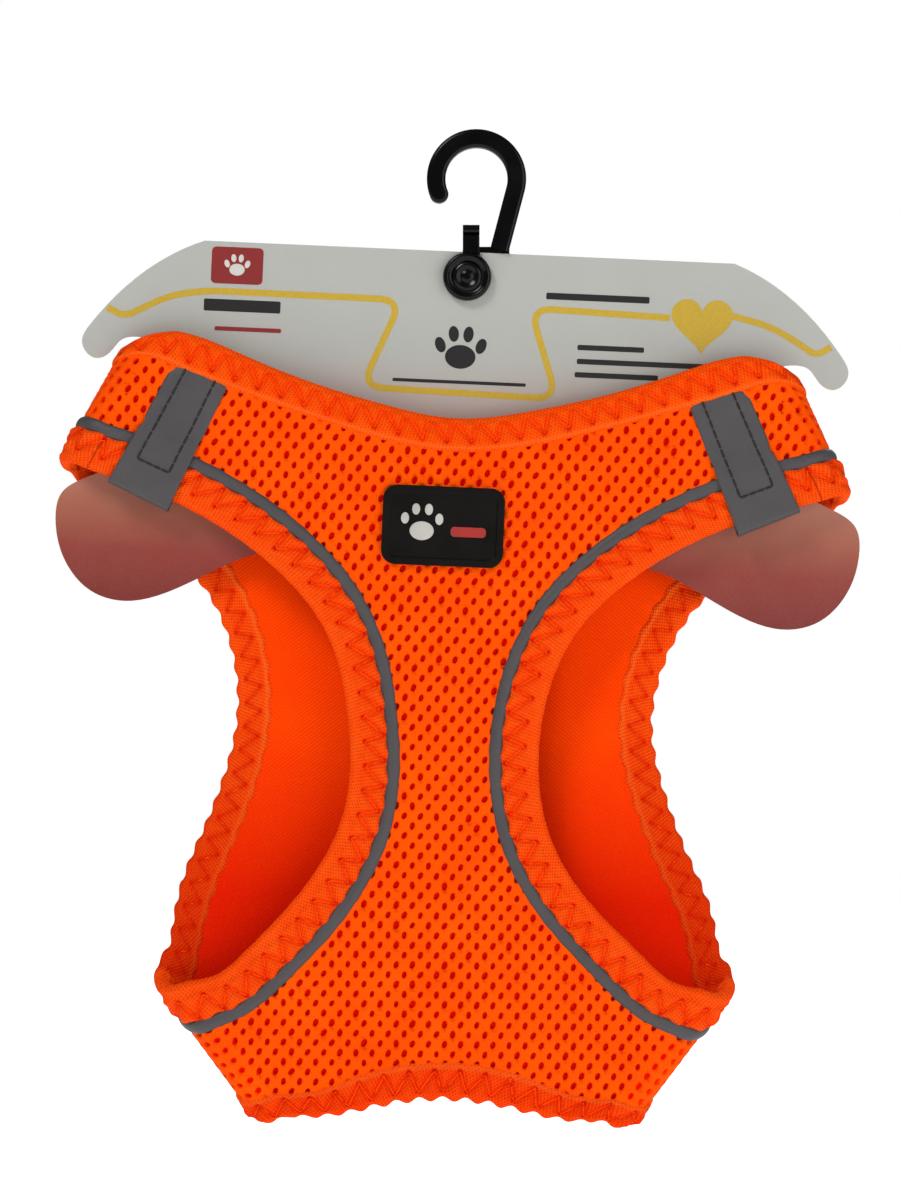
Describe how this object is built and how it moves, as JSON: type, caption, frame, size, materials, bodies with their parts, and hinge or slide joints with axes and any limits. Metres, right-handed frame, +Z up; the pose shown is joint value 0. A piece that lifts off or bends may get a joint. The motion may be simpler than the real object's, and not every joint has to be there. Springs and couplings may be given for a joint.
{
  "type": "dog chest harness",
  "caption": "Step-in mesh chest harness on a hanger card, with reflective trim, back buckle, hook-and-loop flaps and leash rings.",
  "frame": {"origin": "centre of the hanger hook's arc, where a display rod goes", "axes": "+Z up as it hangs, -Y the front of the chest, +X across the chest to the right as seen from the front"},
  "size_m": [0.2412, 0.0357, 0.3001],
  "materials": {
    "air_mesh": "knitted air mesh, matt",
    "lining": "fine twill, matt",
    "binding": "stretch binding tape, matt",
    "reflective": "retro-reflective grey tape, satin",
    "closure": "hook-and-loop pile",
    "webbing": "woven polyester webbing",
    "label_rubber": "satin",
    "label_print": "satin",
    "black_plastic": "gloss moulded",
    "buckle_plastic": "fine grained acetal",
    "ring_steel": "nickel plated",
    "card_board": "coated, semi-gloss"
  },
  "bodies": {
    "harness": {"chest_mesh": "air_mesh", "chest_lining": "lining", "left_flap_mesh": "air_mesh", "right_flap_mesh": "air_mesh", "left_flap_lining": "lining", "right_flap_lining": "lining", "neck_binding": "binding", "hem_binding": "binding", "left_leg_binding": "binding", "right_leg_binding": "binding", "left_leg_piping": "reflective", "right_leg_piping": "reflective", "left_reflective_tab": "reflective", "right_reflective_tab": "reflective", "loop_tape": "closure", "hook_tape": "closure", "label_base": "label_rubber", "label_motif": "label_print", "socket_webbing": "webbing", "left_ring_loop": "webbing", "buckle_socket": "buckle_plastic", "hanger_card": "card_board", "hanger_hook": "black_plastic"},
    "snap": {"snap_cap": "black_plastic"},
    "plug": {"buckle_plug": "buckle_plastic", "plug_webbing": "webbing", "right_ring_loop": "webbing"},
    "upper_arm": {"upper_plug_arm": "buckle_plastic"},
    "lower_arm": {"lower_plug_arm": "buckle_plastic"},
    "left_ring": {"left_d_ring": "ring_steel"},
    "right_ring": {"right_d_ring": "ring_steel"}
  },
  "joints": [
    {"name": "snap_hinge", "type": "hinge", "parent": "harness", "child": "snap", "pos_m": [-0.0016, 0, -0.0152], "axis": [-1, 0, 0], "range_deg": [0, 120]},
    {"name": "plug_pull", "type": "slide", "parent": "harness", "child": "plug", "axis": [0.999, 0, -0.0436], "range_m": [0, 0.024]},
    {"name": "upper_arm_press", "type": "hinge", "parent": "plug", "child": "upper_arm", "pos_m": [0.0062, 0.0203, -0.15938], "axis": [0, -1, 0], "range_deg": [0, 7], "stiffness_Nm_per_rad": 0.05},
    {"name": "lower_arm_press", "type": "hinge", "parent": "plug", "child": "lower_arm", "pos_m": [0.00557, 0.0203, -0.17397], "axis": [0, 1, 0], "range_deg": [0, 7], "stiffness_Nm_per_rad": 0.05},
    {"name": "left_ring_swing", "type": "hinge", "parent": "harness", "child": "left_ring", "pos_m": [-0.05156, 0.015, -0.16417], "axis": [-0.0436, 0, -0.999], "range_deg": [0, 120]},
    {"name": "right_ring_swing", "type": "hinge", "parent": "plug", "child": "right_ring", "pos_m": [0.03236, 0.015, -0.16783], "axis": [0.0436, 0, 0.999], "range_deg": [0, 120]}
  ]
}
